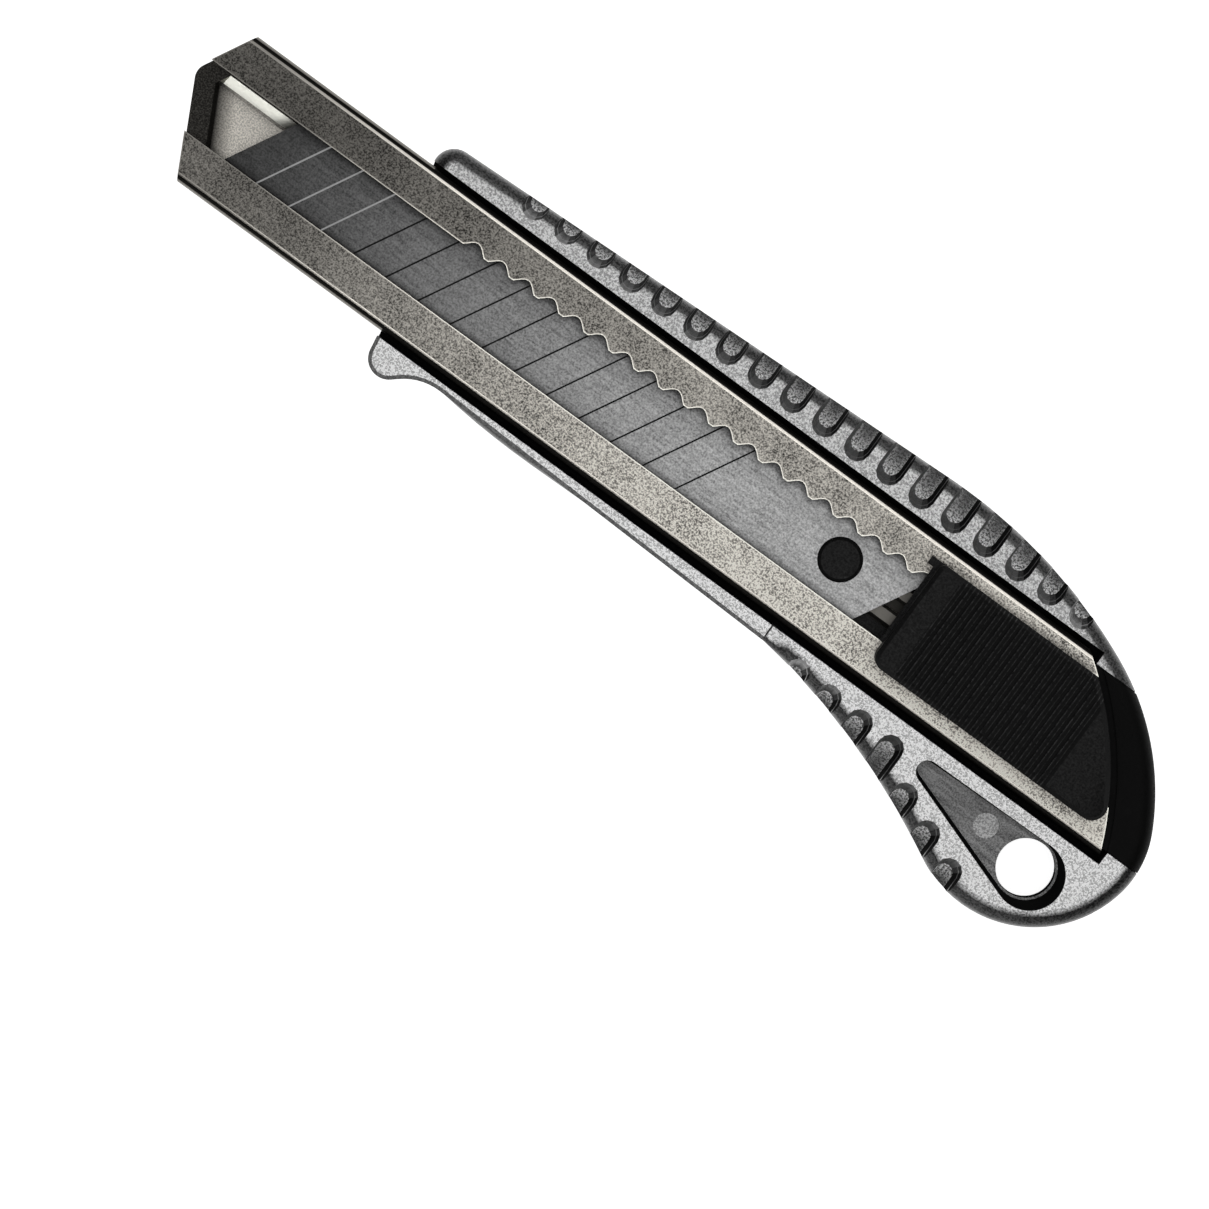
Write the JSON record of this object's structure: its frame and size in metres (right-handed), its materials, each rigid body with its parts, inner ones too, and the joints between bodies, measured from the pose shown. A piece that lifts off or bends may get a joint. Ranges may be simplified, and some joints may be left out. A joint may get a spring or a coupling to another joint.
{
  "type": "utility knife",
  "caption": "Snap-off blade utility knife with a ribbed die-cast grip, folded sheet channel, ribbed thumb slider that locks in wave notches, and pull-off end cap.",
  "frame": {"origin": "on the grip's flat back face, under the channel screw", "axes": "+X forward to the blade tip, +Y toward the cutting edge, +Z out of the open side of the channel"},
  "size_m": [0.1553, 0.0426, 0.017],
  "materials": {
    "cast_metal": "bead-blasted die casting, speckled silver",
    "channel_steel": "warm grey stainless sheet with a fine satin grain",
    "zinc_steel": "bluish zinc plate",
    "blade_steel": "fine ground hardened steel with a bright bevel",
    "spring_steel": "dark rolled spring steel",
    "black_plastic": "matte moulded black plastic"
  },
  "bodies": {
    "grip": {"handle_casting": "cast_metal", "blade_channel": "channel_steel", "channel_screw": "zinc_steel"},
    "slider": {"snap_off_blade": "blade_steel", "blade_carrier": "black_plastic", "lock_spring": "spring_steel", "thumb_button": "black_plastic"},
    "cap": {"end_cap": "black_plastic"}
  },
  "joints": [
    {"name": "blade_slide", "type": "slide", "parent": "grip", "child": "slider", "axis": [1, 0, 0], "range_m": [0, 0.08915], "deforming": ["lock_spring"]},
    {"name": "end_cap_pull", "type": "slide", "parent": "grip", "child": "cap", "axis": [-1, 0, 0], "range_m": [0, 0.03]}
  ]
}
